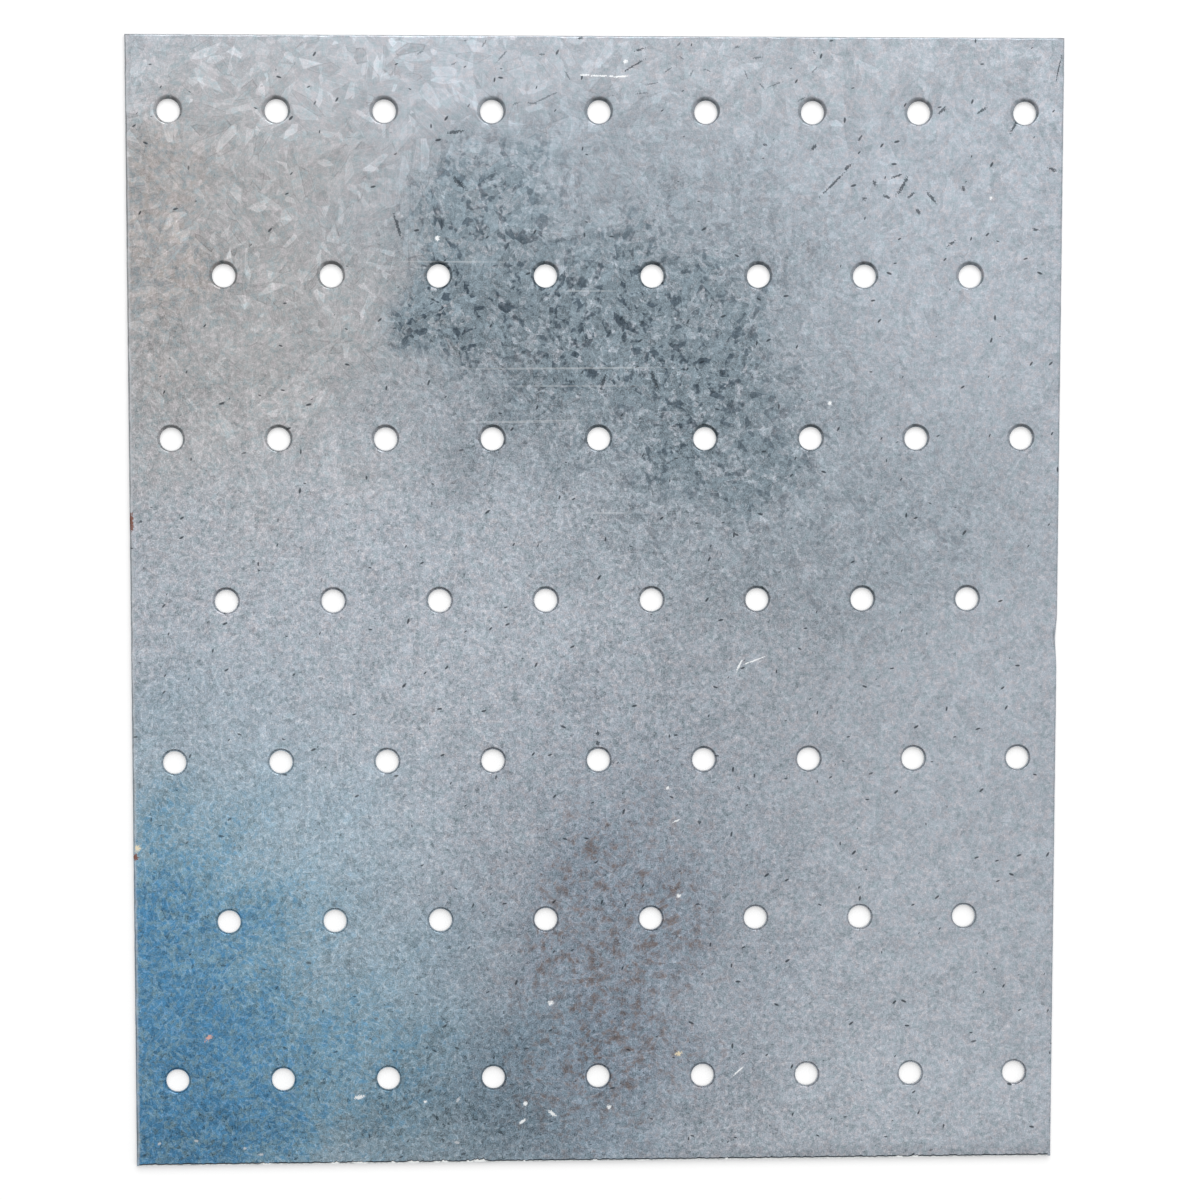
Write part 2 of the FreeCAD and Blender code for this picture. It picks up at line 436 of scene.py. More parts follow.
SCRATCHES = [
    (580, 75, 590, 75, 1.4), (590, 75.6, 600, 75.8, 1.8), (600, 75.8, 608, 76, 1.9), (609, 76, 613, 76, 1.9),
    (614, 77, 629, 76, 1.65), (624, 62, 627, 61, 4), (549, 1003.5, 553, 1002, 5), (525, 1101, 526, 1106, 4),
    (609, 1107, 609, 1107.5, 4), (424, 1103, 427, 1101, 3), (355, 1098, 365, 1096, 4),
    (733, 1076, 744, 1066, 1.6), (736, 672, 742, 660, 2), (745, 664, 764, 657, 1.5), (828, 404, 832, 402, 4),
    (436, 241, 439, 236, 4), (667, 788, 668, 788, 3.5), (672, 823, 681, 819, 1.5), (678, 896, 679, 896, 4),
    (989, 197.5, 993, 199, 4), (519, 1124, 526, 1119, 3), (549, 1111, 556, 1116, 3.5),
]
DRAG_LINES = [
    (456, 369.2, 676, 367.3, 2), (396, 261.5, 508, 262, 1.6), (455, 422, 562, 422, 1.6),
    (510, 421, 590, 420, 1.3), (587, 513, 629, 513, 2), (553, 291, 620, 291, 1.6), (512, 386, 640, 386, 1.2),
]
PINK_SPOTS = [(205, 1041, 212, 1035, 4)]
STRAW_SPOTS = [(675, 1054, 682, 1053, 4), (137, 846.2, 138.5, 851.5, 6)]
RUST_SPOTS = [(130.5, 513.5, 130.8, 531.4, 5.7), (135, 854.3, 136.2, 860.6, 5.1)]
# centre, half length and half breadth in millimetres, and turn in degrees
CRACKS = [
    (-27.5, 86.2, 0.5, 0.13, 30), (-20.4, 88.1, 0.4, 0.13, 20), (-17.6, 87.6, 0.7, 0.13, 60),
    (-14.9, 85.6, 1.3, 0.13, 50), (-22.3, 84.5, 0.5, 0.13, 30), (-8.2, 79.3, 1.9, 0.13, 25),
    (-10.2, 78.5, 0.8, 0.13, -10), (-8.6, 86.0, 0.6, 0.13, 0), (-4.7, 82.9, 0.8, 0.13, -60),
    (8.6, 81.6, 1.0, 0.13, 10), (11.0, 83.7, 0.9, 0.13, 35), (7.1, 80.1, 1.0, 0.13, 5),
    (12.6, 87.6, 0.7, 0.13, 50), (13.0, 85.6, 0.5, 0.13, -40), (14.6, 83.2, 0.5, 0.16, 60),
    (21.7, 87.3, 0.4, 0.13, 20), (23.2, 82.9, 0.8, 0.13, -70), (24.8, 85.6, 0.9, 0.15, 10),
    (27.9, 81.6, 1.2, 0.13, 20), (33.8, 86.4, 0.7, 0.13, -60), (33.8, 83.8, 0.7, 0.13, 45),
    (25.6, 81.3, 0.6, 0.13, -50), (31.9, 79.3, 0.8, 0.13, 30), (-12.6, 78.5, 0.5, 0.15, 20),
    (17.0, 83.7, 0.6, 0.13, -20),
]
PALE_SPECKS = [
    (-69.4, -85.3, 0.3, 0.2, 30), (-63.6, -84.9, 0.32, 0.18, -20), (-55.9, -86.2, 0.34, 0.2, 15),
    (-53.4, -87.2, 0.45, 0.2, 5), (-22.3, -85.6, 0.4, 0.22, -15), (-22.0, -78.7, 0.5, 0.2, 55),
]
PIT_COLOUR, BRIGHT_COLOUR, PALE_COLOUR = (0.035, 0.045, 0.055), (0.88, 0.90, 0.91), (0.52, 0.55, 0.58)
PINK_COLOUR, STRAW_COLOUR, RUST_COLOUR = (0.72, 0.42, 0.36), (0.85, 0.74, 0.52), (0.22, 0.08, 0.05)
PIT_SLIMNESS = 0.8             # a pit's blurred sides make it look broader than it is
# places, colour and strength of each kind
MARK_KINDS = [
    (ovals_of(PITS, PIT_SLIMNESS), PIT_COLOUR, 0.75),
    (ovals_of(SCRATCHES), BRIGHT_COLOUR, 0.95),
    (CRACKS, PIT_COLOUR, 0.5),
    (ovals_of(DRAG_LINES), BRIGHT_COLOUR, 0.2),
    (ovals_of(PINK_SPOTS), PINK_COLOUR, 0.9),
    (ovals_of(STRAW_SPOTS), STRAW_COLOUR, 0.9),
    (ovals_of(RUST_SPOTS), RUST_COLOUR, 0.9),
    (PALE_SPECKS, PALE_COLOUR, 0.9),
]
print(f"{sum(len(ovals) for ovals, _, _ in MARK_KINDS)} marks of {len(MARK_KINDS)} kinds")

# %% [markdown]
# ## Marks as transfers
#
# The marks are laid on the sheet like transfers: a face that a mark touches carries the mark's own
# coordinates at its corners, in which the mark's outline is a circle of radius 1. The finish then only has
# to ask how far a point is from the middle of that circle. A face can carry one mark in each of three
# layers.

# %% Lay the marks on
MARK_LAYERS = 3
MARK_MARGIN = 1.4              # a mark with its ragged border reaches this many radii
FAR_AWAY = 9.0                 # mark coordinate of a face that has no mark


def points_mm(mesh):
    """The points of a mesh in millimetres."""
    points = np.empty(3 * len(mesh.vertices), dtype=np.float32)
    mesh.vertices.foreach_get("co", points)
    return points.reshape(-1, 3) / MM


def turned_back(turn):
    """Matrix that turns flat places back by an angle in degrees."""
    cosine, sine = np.cos(np.radians(turn)), np.sin(np.radians(turn))
    return np.array([(cosine, -sine), (sine, cosine)])


def near_middle(places, limit):
    """Faces whose corners reach, in both directions, to within the limit of the middle."""
    return ((places.min(axis=1) < limit) & (places.max(axis=1) > -limit)).all(axis=1)


def lay_marks(piece):
    """Each mark goes into the first layer in which none of its faces carries another mark."""
    mesh = piece.data
    corner_points = np.empty(len(mesh.loops), dtype=np.int32)
    mesh.loops.foreach_get("vertex_index", corner_points)
    corners = points_mm(mesh)[corner_points].reshape(-1, 4, 3)
    on_front = corners[..., 2].min(axis=1) > thickness - ROLL_DEPTH
    place = np.tile([FAR_AWAY, FAR_AWAY, 0.0], (MARK_LAYERS, len(corners), 4, 1))
    colour = np.zeros((MARK_LAYERS, len(corners), 4, 4))
    left_out = 0
    for ovals, mark_colour, strength in MARK_KINDS:
        for x, y, half_length, half_breadth, turn in ovals:
            halves = np.array([half_length, half_breadth])
            shifted = corners[..., :2] - (x, y)
            own = shifted @ turned_back(turn) / halves
            reach = np.abs(turned_back(turn)) @ halves
            touched = on_front & near_middle(own, MARK_MARGIN) & near_middle(shifted, MARK_MARGIN * reach)
            free = [layer for layer in range(MARK_LAYERS) if not place[layer, touched, 0, 2].any()]
            left_out += not free
            for layer in free[:1]:
                place[layer, touched, :, :2] = own[touched]
                place[layer, touched, :, 2] = strength
                colour[layer, touched] = (*mark_colour, 1)
    for layer in range(MARK_LAYERS):
        carry(mesh, f"mark_place_{layer}", "FLOAT_VECTOR", "CORNER", "vector", place[layer])
        carry(mesh, f"mark_colour_{layer}", "FLOAT_COLOR", "CORNER", "color", colour[layer])
    print(f"marks laid in {MARK_LAYERS} layers, {left_out} left out")


lay_marks(sheet)

# %% [markdown]
# ## Stains and painted reflections
#
# The zinc's colour lies in clouds. A slate grey cloud at the far end, and a brown one and a blue one at the
# near end, are painted reflections. A warm tint at the left is the zinc's own. Three more clouds say where
# the crystals are coarse, where the zinc is brighter or duller, partly with painted light that is brighter
# along the far end, and where its grain is calm. Each cloud is a few soft ovals that add up.

# %% Places of the stains and painted reflections
# strength, centre, two radii and, where it isn't 0, turn in degrees of each oval
STAINS_AND_REFLECTIONS = {
    # painted dark reflection: the slate grey cloud at the far end
    "shade": [
        (0.5, (-18, 57), (18, 24)), (0.45, (-23, 47), (10, 10)), (0.51, (9, 41), (28, 18), -10),
        (0.24, (20, 25), (18, 16)), (0.16, (-12, 39), (18, 16)), (0.08, (2, 55), (16, 14)),
        (0.12, (-27, 53), (9, 9)), (0.4, (3, 46), (52, 44)), (0.3, (32, 14), (50, 28)),
    ],
    # painted reflection: the brown cloud at the near end
    "brown": [
        (0.43, (3, -53), (20, 31)), (0.46, (3, -54), (42, 58)), (0.36, (-6, -77), (26, 22)),
    ],
    # painted reflection: the blue cloud at the near left corner
    "blue": [
        (0.55, (-80, -72), (42, 52)), (0.5, (-66, -64), (58, 68)), (0.2, (-34, -88), (64, 32)),
        (0.14, (-20, -70), (26, 26)), (-0.16, (-48, -89), (14, 9)),
    ],
    "pink": [
        (0.8, (-68, 58), (13, 27)),
    ],
    "warm": [
        (1.0, (-62, 51), (53, 54)), (0.2, (0, 88), (110, 22)),
    ],
    "coarse": [
        (1.0, (-45, 62), (74, 56)), (0.3, (20, 60), (80, 60)),
    ],
    # brighter or duller zinc, partly painted light: brighter along the far end
    "bright": [
        (0.11, (-44, 90), (70, 24)), (0.03, (0, 92), (110, 18)), (0.05, (-74, 0), (74, 110)),
        (0.08, (-46, -32), (26, 22)), (0.05, (62, 66), (34, 50)), (-0.11, (25, -12), (36, 32)),
        (-0.1, (-20, 34), (24, 20)), (-0.08, (-68, 48), (18, 24)), (-0.28, (-24, -82), (26, 20)),
        (-0.12, (-68, -86), (36, 18)), (-0.06, (-14, -59), (13, 18)), (-0.05, (25, -46), (17, 18)),
        (0.04, (-14, -6), (26, 14)), (0.05, (-40, 14), (14, 14)), (0.12, (-14, 67), (12, 10)),
        (-0.05, (-70, -8), (12, 30)), (0.05, (-53, 27), (14, 12)), (-0.05, (-21, -66), (14, 12)),
        (-0.03, (34, -44), (18, 20)), (0.07, (56, -78), (32, 14)), (-0.08, (22, -80), (13, 14)),
        (0.08, (-21, -75), (10, 7)),
    ],
    "calm": [
        (0.38, (75, 0), (85, 140)), (0.38, (0, 95), (110, 65)), (-0.16, (-60, -62), (50, 60)),
    ],
}
print(f"{sum(map(len, STAINS_AND_REFLECTIONS.values()))} soft ovals in {len(STAINS_AND_REFLECTIONS)} clouds")

# %% [markdown]
# ## Stains at every point
#
# How strong each cloud is gets worked out at every point of the sheet, and the finish then breaks the
# clouds up into crystals and clots. Nodes could add the ovals up as well, but numpy does it once and the
# render stays quick. Slow waves push the places about first, so that no cloud ends in a clean oval.

# %% Lay the stains and painted reflections on
CLOUD_WAVES, CLOUD_WAVE_SIZES = 14, (5, 26)
CLOUD_PUSH = 0.07              # height of a wave as a share of its length
OVAL_FADE = 0.75               # share of an oval's radius over which it fades


def drift(places):
    """Places pushed about by slow waves of random length and direction."""
    rng = np.random.default_rng(8)
    turn, push_turn, phase = rng.uniform(0, 2 * np.pi, (3, CLOUD_WAVES))
    size = rng.uniform(*CLOUD_WAVE_SIZES, CLOUD_WAVES)
    waves = np.sin(places @ (2 * np.pi / size * np.array([np.cos(turn), np.sin(turn)])) + phase)
    return places + waves @ (CLOUD_PUSH * size * np.array([np.cos(push_turn), np.sin(push_turn)])).T


def soft_oval(places, strength, centre, radii, turn=0):
    """Full strength in the middle of the oval, then a smooth fall to nothing at its border."""
    own = (places - centre) @ turned_back(turn) / radii
    rise = np.clip((1 - np.hypot(*own.T)) / OVAL_FADE, 0, 1)
    return strength * rise ** 2 * (3 - 2 * rise)


def lay_stains_and_reflections(piece):
    """One attribute of the sheet for each cloud of stain or painted reflection, the sum of its ovals. The
    back stays clean.
    """
    points = points_mm(piece.data)
    places = drift(points[:, :2])
    on_front = points[:, 2] > thickness / 2
    for name, ovals in STAINS_AND_REFLECTIONS.items():
        strength = np.clip(sum(soft_oval(places, *oval) for oval in ovals), -1, 1) * on_front
        carry(piece.data, name, "FLOAT", "POINT", "value", strength)
    print(f"{len(STAINS_AND_REFLECTIONS)} stains at {len(points)} points")


lay_stains_and_reflections(sheet)

# %% [markdown]
# ## The burr on the near end
#
# A shear leaves a burr on the side that its blade comes out of. On the near end that is the front, and
# handling has folded the burr down on to the face. It shows as a thin dark line beside a pale strip, with a
# few small bright chips. A line in the finish would look flat from the side, so it is a ribbon that lies
# along the edge: its section is a low arch, and its width is a wandering line plus one hump for each chip.

# %% Folded burr
BURR_STEP = 0.15
BURR_WIDTH, BURR_WANDER, BURR_RISE = 0.40, 0.06, 0.05
BURR_WAVES, CHIP_WAVES = (0.9, 1.7, 2.9, 5.1), (0.5, 0.8, 1.3)
BURR_END = 0.4                 # the burr stops this far from the plate's corners
BURR_INSET = 0.02              # and lies this far inside the cut
CHIP_RAGGED = 0.2              # share by which a chip's width varies
LEAST_WIDTH = 0.05
CHIP_SHARE = 0.8               # share of the burr's width over which a chip is bright
CHIP_ROW = 1160                # row of pixels in which the near end lies
# first and last column of pixels of each chip, and its width in millimetres
CHIPS = np.array([
    (261, 273, 0.02), (329, 341, 0.02), (351, 369, 0.05), (391, 396, 0.04), (407, 421, 0.06),
    (434, 441, 0.04), (441, 448, 0.10), (466, 474, 0.06), (472, 488, 0.26), (523, 526, 0.03),
    (593, 597, 0.04), (725, 728, 0.04), (896, 903, 0.04), (912, 919, 0.04),
])
# across, up and shine of the section
BURR_ARCH = np.array([
    (0.0, -1.0, 0.75), (0.06, 0.8, 0.75), (0.46, 1.0, 0.7),
    (0.54, 0.9, 0.0), (0.88, 0.6, 0.0), (1.0, -0.3, 0.0),
])


def tube_faces(around, stations):
    """Faces of a closed tube with six sides. Each flat end is two faces."""
    near_end = (np.arange(around) * stations)[[[0, 1, 2, 3], [0, 3, 4, 5]]]
    return np.vstack([ring_faces(around, stations, False), near_end, near_end[:, ::-1] + stations - 1])


def folded_burr():
    """Along the edge, the arch is as wide as the burr is there. A chip's hump is a flat topped bump, and the
    burr stands twice as high there."""
    place = np.arange(low[0] + BURR_END, high[0] - BURR_END, BURR_STEP)
    first, last = (on_plate(columns, 0 * columns + CHIP_ROW)[:, 0] for columns in CHIPS[:, :2].T)
    humps = np.exp(-((place[:, None] - (first + last) / 2) / ((last - first) / 2)) ** 4)
    chip = humps.max(axis=1)
    wide = BURR_WIDTH + BURR_WANDER * wander(place, 11, BURR_WAVES) + (humps * CHIPS[:, 2]).max(axis=1)
    wide = np.clip(wide * (1 + CHIP_RAGGED * chip * wander(place, 12, CHIP_WAVES)), LEAST_WIDTH, None)
    across_edge = low[1] + BURR_INSET + wide[:, None] * BURR_ARCH[:, 0]
    up = thickness + BURR_RISE * (0.5 + 0.5 * chip)[:, None] * BURR_ARCH[:, 1]
    shine = np.maximum(BURR_ARCH[:, 2], chip[:, None] * (BURR_ARCH[:, 0] < CHIP_SHARE))
    grid = np.stack([np.broadcast_to(place[:, None], up.shape), across_edge, up, shine], -1)
    return grid.swapaxes(0, 1).reshape(-1, 4), tube_faces(len(BURR_ARCH), len(place))


burr = build("folded_burr", [folded_burr()], "chip")

# %% [markdown]
# ## Working with shader nodes
#
# A finish is worked out point by point from the place on the plate. Each step is a node. Nodes can be
# joined by hand in the shader editor, but a few helpers let the steps be written as arithmetic, which is
# easier to read.

# %% Wires that do sums
zinc = bpy.data.materials.new("zinc_coated_steel")
zinc.use_nodes = True
tree = zinc.node_tree
WIDE = ("VECTOR", "RGBA")


class Wire:
    """A value on its way between nodes. Arithmetic on it adds the node that does the sum."""

    def __init__(self, socket):
        self.socket = socket

    def __add__(self, other):
        return calc("ADD", self, other)

    def __radd__(self, other):
        return calc("ADD", other, self)

    def __sub__(self, other):
        return calc("SUBTRACT", self, other)

    def __rsub__(self, other):
        return calc("SUBTRACT", other, self)

    def __mul__(self, other):
        return calc("MULTIPLY", self, other)

    __rmul__ = __mul__


def feed(socket, value):
    """Join a wire to an input, or set the input to a plain value."""
    if isinstance(value, Wire):
        tree.links.new(value.socket, socket)
    elif socket.type in WIDE and not isinstance(value, tuple):
        socket.default_value = (value,) * len(socket.default_value)
    else:
        socket.default_value = value


def add_node(kind, inputs, **settings):
    """A node of the current tree, with its settings made and its inputs fed."""
    made = tree.nodes.new(kind)
    for name, value in settings.items():
        setattr(made, name, value)
    for name, value in inputs.items():
        feed(made.inputs[name], value)
    return made


def calc(operation, *terms):
    """One step of arithmetic, on numbers or on points and colours."""
    wide = any(isinstance(t, tuple) or isinstance(t, Wire) and t.socket.type in WIDE for t in terms)
    kind = "ShaderNodeVectorMath" if wide else "ShaderNodeMath"
    made = add_node(kind, dict(enumerate(terms)), operation=operation)
    return Wire(made.outputs["Value" if operation in ("LENGTH", "DOT_PRODUCT") else 0])


# %% [markdown]
# ## Patterns and mixes
#
# Zinc needs few patterns: random cells for its crystals, the distance to a cell's border, and soft mottling
# for grain and blotches. Smooth steps and mixes then turn them into tones and colours.

# %% Patterns and mixes
def ramp(value, start, end):
    """A smooth step from 0 at the start to 1 at the end. The start may be the larger."""
    inputs = {"Value": value, "From Min": start, "From Max": end}
    return Wire(add_node("ShaderNodeMapRange", inputs, interpolation_type="SMOOTHSTEP").outputs[0])


def tint(colour, other, share):
    """A colour with a share of another one mixed in."""
    made = add_node("ShaderNodeMix", {0: share, 6: colour, 7: other}, data_type="RGBA")
    return Wire(made.outputs[2])


def cells(place, size):
    """Random cells about one size across: three random numbers for each cell, and the place of its seed."""
    made = add_node("ShaderNodeTexVoronoi", {"Vector": place, "Scale": 1 / size}, voronoi_dimensions="2D")
    split = add_node("ShaderNodeSeparateColor", {0: Wire(made.outputs["Color"])})
    return [Wire(socket) for socket in split.outputs], Wire(made.outputs["Position"])


def to_border(place):
    """How far a point is from the border of its cell, in cell sizes."""
    settings = {"voronoi_dimensions": "2D", "feature": "DISTANCE_TO_EDGE"}
    made = add_node("ShaderNodeTexVoronoi", {"Vector": place, "Scale": 1.0}, **settings)
    return Wire(made.outputs["Distance"])


def mottling(place, size, detail, harshness):
    """Soft random mottling with spots of about one size: one number from 0 to 1, and three as a colour."""
    inputs = {"Vector": place, "Scale": 1 / size, "Detail": detail, "Roughness": harshness}
    number, colour = add_node("ShaderNodeTexNoise", inputs, noise_dimensions="2D").outputs[:2]
    return Wire(number), Wire(colour)


def turned(place, angle):
    """A place turned about the upright axis."""
    made = add_node("ShaderNodeVectorRotate", {"Vector": place, "Angle": angle}, rotation_type="Z_AXIS")
    return Wire(made.outputs[0])


def painted(name):
    """A number that the mesh carries at each point."""
    return Wire(add_node("ShaderNodeAttribute", {}, attribute_name=name).outputs["Fac"])


# %% [markdown]
# ## Where a point lies
#
# Every pattern starts from a point's own place on the plate, in millimetres and seen from above. The
# crystals of the front are shifted well away from those of the back, so that the two faces don't match. A
# fine noise pushes the places about by less than a tenth of a millimetre, because a crystal's border is
# never quite straight.

# %% Place on the plate
FLAT = (1.0, 1.0, 0.0)
FACE_SHIFT = 211.0             # keeps the front's crystals apart from the back's
object_place = Wire(add_node("ShaderNodeTexCoord", {}).outputs["Object"])
place_mm = object_place * (1 / MM, 1 / MM, 0.0)
height_mm = Wire(add_node("ShaderNodeSeparateXYZ", {0: object_place}).outputs["Z"]) * (1 / MM)
across_mm, along_mm, _ = map(Wire, add_node("ShaderNodeSeparateXYZ", {0: place_mm}).outputs)
front = ramp(height_mm, 0.3, 0.6)
cut = painted("cut")
side_place = place_mm + front * FACE_SHIFT * FLAT
_, pushes = mottling(place_mm, 0.8, 0.0, 0.5)
ragged = (pushes - 0.5) * FLAT
ragged_place = side_place + ragged * (0.14, 0.14, 0.0)
print(f"{len(tree.nodes)} nodes for the place")

# %% [markdown]
# ## Zinc crystals
#
# As the zinc coat freezes it grows crystals, and each one is a little brighter or darker than the next. The
# cells of a Voronoi pattern are a good likeness. Plain cells are round, so for long crystals the place is
# first turned and squeezed: every crystal of a family lies one way, and the next family lies another way.
# Broad, small and fine crystals are laid over each other. Between them come feathering, grain and two sizes
# of blotch.

# %% Crystals
FAMILY_SHIFT = 37.0            # families take their crystals from places up to this far apart


def crystals(place, family, length, breadth):
    """Long crystals: within a family they all lie one way, and families lie every way."""
    (way, offset, _), _ = cells(place, family)
    laid = (turned(place, way * (2 * np.pi)) + offset * FAMILY_SHIFT) * (1 / length, 1 / breadth, 0.0)
    return cells(laid, 1.0)[0], laid


broad, broad_laid = crystals(side_place + ragged * (0.07, 0.07, 0.0), family=6.5, length=4.4, breadth=1.5)
small, small_laid = crystals(ragged_place + (31.0, 17.0, 0.0), family=3.2, length=2.4, breadth=0.85)
fine, _ = cells(ragged_place + (57.0, 83.0, 0.0), 0.5)
feather, _ = mottling(broad_laid * (2.0, 9.0, 0.0), 1.0, 1.0, 0.6)
grain, _ = mottling(place_mm, 0.21, 1.0, 0.7)
blotch, _ = mottling(place_mm, 1.9, 2.0, 0.7)
clot, _ = mottling(place_mm + (9.0, 4.0, 0.0), 0.72, 2.0, 0.7)
print(f"{len(tree.nodes)} nodes with the crystals")

# %% [markdown]
# ## Borders and glints
#
# Up close the crystals have a fine pale web between them, and the broad ones have a dark outline with a
# bright rim inside it. These come from the distance to the cell's border. None of them is complete: the
# clots decide where they show. A few grains glint, and a few are dark specks.

# %% Borders and glints
web = ramp(to_border(small_laid), 0.16, 0.03) * ramp(clot, 0.42, 0.60)
broad_border = to_border(broad_laid)
outline = ramp(broad_border, 0.07, 0.02) * ramp(clot, 0.38, 0.54)
rim = ramp(broad_border, 0.05, 0.10) * ramp(broad_border, 0.26, 0.12) * ramp(clot, 0.60, 0.44)
glint = ramp(grain, 0.70, 0.84) * ramp(blotch, 0.46, 0.62)
speck = ramp(grain, 0.30, 0.18) * ramp(blotch, 0.58, 0.40)
print(f"{len(tree.nodes)} nodes with the borders")

# %% [markdown]
# ## Light and dark of the zinc
#
# The tone is a number near 1 that the colour is multiplied by. Some of the broad crystals show as blades
# and some of the small ones as facets, mostly where the stain map says that the crystals are coarse.
# Elsewhere the zinc is a busy mottle of fine grain, which is weaker where the map says it is calm.

# %% Tone
shade, brown, blue, pink, warm, coarse, bright, calm = map(painted, STAINS_AND_REFLECTIONS)
busy = 1.0 - calm - coarse * 0.42
cloudy = shade + brown * 0.5
blade_tone = broad[1] * 0.34 - 0.12 - outline * 0.22 + rim * 0.10 + glint * 0.25
blade = ramp(broad[0], 0.66, 0.67) * blade_tone * (0.12 + coarse * 0.88)
facet = ramp(small[0], 0.72, 0.74) * (small[1] * 0.38 - 0.12) * (0.2 + coarse * 0.8)
mottle = (clot - 0.5) * 0.55 + (blotch - 0.5) * 0.24 - ramp(fine[2], 0.08, 0.03) * 0.16
mottle = mottle + (web - 0.12) * 0.15 + glint * 0.5 - speck * 0.25 + (small[2] - 0.5) * 0.10
# the brightness cloud adds tone that is partly painted light, brighter along the far end
tone = 0.985 + bright + blade + facet + (broad[2] - 0.5) * 0.09 + (small[2] - 0.5) * 0.06
tone = tone + (feather - 0.5) * 0.26 * coarse
tone = tone + ((fine[0] - 0.5) * 0.25 + (grain - 0.5) * 0.6 + glint * 0.5 + web * 0.15) * cloudy
tone = tone + (blotch - 0.5) * 0.35 * blue
tone = tone + ((fine[0] - 0.5) * 0.24 + mottle + (grain - 0.5) * 0.9) * busy
print(f"{len(tree.nodes)} nodes with the tone")

# %% [markdown]
# ## Colour of clean zinc
#
# Zinc is a bluish grey metal. At the left it has a warm film with a pinkish bloom in it, and everywhere the
# grey drifts a little between rosy and greenish from clot to clot. A single flat grey would look like
# paint.

# %% Colour of clean zinc
ZINC, WARM_ZINC = (0.401, 0.440, 0.492, 1), (0.370, 0.362, 0.357, 1)
PINK_BLOOM, PINK_SHADOW = (0.392, 0.357, 0.333, 1), (0.25, 0.222, 0.230, 1)
ROSY_ZINC, GREENISH_ZINC = (0.45, 0.415, 0.435, 1), (0.33, 0.425, 0.46, 1)
patch = blotch * 0.5 + clot * 0.5
colour = tint(ZINC, WARM_ZINC, warm * 0.8)
colour = tint(colour, PINK_BLOOM, pink * ramp(blotch, 0.35, 0.7))
colour = tint(colour, PINK_SHADOW, pink * ramp(blotch, 0.48, 0.35) * 0.55)
colour = tint(colour, ROSY_ZINC, ramp(patch, 0.50, 0.64) * 0.45)
colour = tint(colour, GREENISH_ZINC, ramp(patch, 0.50, 0.36) * 0.45)
print(f"{len(tree.nodes)} nodes with the clean zinc")

# %% [markdown]
# ## Painted reflections: blue, slate and brown
#
# The blue, the slate grey and the brown are painted reflections, laid into the zinc's colour. A reflection
# differs from one crystal to the next, so each cloud's strength is first shaken up by the crystals and clots,
# and then mixes in its colours. In the slate cloud some facets are painted almost black.

# %% Painted reflections: blue, slate and brown
LIGHT_BLUE, DEEP_BLUE = (0.185, 0.335, 0.425, 1), (0.05, 0.19, 0.36, 1)
PALE_WEB = (0.48, 0.50, 0.505, 1)
SLATE, BLACK_FACET = (0.195, 0.245, 0.280, 1), (0.040, 0.058, 0.078, 1)
BROWN_REFLECTION_LOSS, BROWN_REFLECTION_CLOT = (0.36, 0.31, 0.25), (0.135, 0.104, 0.092, 1)
# painted blue reflection at the near left corner
blue_breakup = 0.93 + (fine[1] - 0.5) * 0.55 + (small[1] - 0.5) * 0.4 + (blotch - 0.5) * 0.9 + (clot - 0.5) * 1.2
blue_share = blue * blue_breakup
colour = tint(colour, LIGHT_BLUE, calc("MINIMUM", blue_share * 0.8 + blue * 0.65, 0.9))
colour = tint(colour, DEEP_BLUE, ramp(blue_share, 0.3, 1.2) * 0.85)
colour = tint(colour, PALE_WEB, web * busy * (0.32 - blue * 0.20))
# painted dark reflection: the slate grey cloud, with facets painted almost black
slate_breakup = 1.12 + (broad[1] - 0.5) * 0.9 + (small[1] - 0.5) * 0.8 + (blotch - 0.5) * 1.1 + (fine[1] - 0.5)
colour = tint(colour, SLATE, calc("MINIMUM", shade * slate_breakup, 0.97))
black_facet = ramp(blotch * 0.9 + small[2] * 0.5, 0.80, 0.98)
colour = tint(colour, BLACK_FACET, black_facet * shade * 0.85)
# painted brown reflection: darkens and browns the middle of the near end
colour = colour * ((1.0, 1.0, 1.0) - brown * BROWN_REFLECTION_LOSS)
brown_share = brown * (0.28 + (small[2] - 0.5) * 0.5 + (blotch - 0.5) * 1.6 + (clot - 0.5) * 0.9)
colour = tint(colour, BROWN_REFLECTION_CLOT, ramp(brown_share, 0.04, 0.8) * 0.8)
colour = colour * tone
print(f"{len(tree.nodes)} nodes with the stains")

# %% [markdown]
# ## The rim of the face
#
# The rim of a sheet wears in its own way. The left side is rubbed bright, and part of its paleness is a
# painted highlight. Along the right half of the near end the colour is darkened with painted shade, as if
# the shear had pulled the sheet down there. The roll of the far end is darkened a little with painted
# shade, which dims its highlight.

# %% Rim of the face
RUBBED_ZINC_AND_SHEEN = (0.52, 0.55, 0.58, 1)
# Painted shade: the right half of the near end is darker.
NEAR_END_SHADE_FROM, NEAR_END_SHADE_TO = low[1] + 3.2, low[1] + 0.6
near_end_painted_shade = ramp(along_mm, NEAR_END_SHADE_FROM, NEAR_END_SHADE_TO) * ramp(across_mm, 0.0, 22.0)
# Painted shade on the far end's roll, which dims its highlight.
far_roll_painted_shade = ramp(along_mm, high[1] - 0.5, high[1] - 0.2)
colour = colour * (1.0 - near_end_painted_shade * 0.17 - far_roll_painted_shade * 0.12)
# The left side is paler: rubbed zinc, and partly a painted highlight.
rubbed_and_sheen = ramp(across_mm + (blotch - 0.5) * 0.6, low[0] + 0.7, low[0] + 0.3) * front
colour = tint(colour, RUBBED_ZINC_AND_SHEEN, rubbed_and_sheen * 0.5)
print(f"{len(tree.nodes)} nodes with the rim")

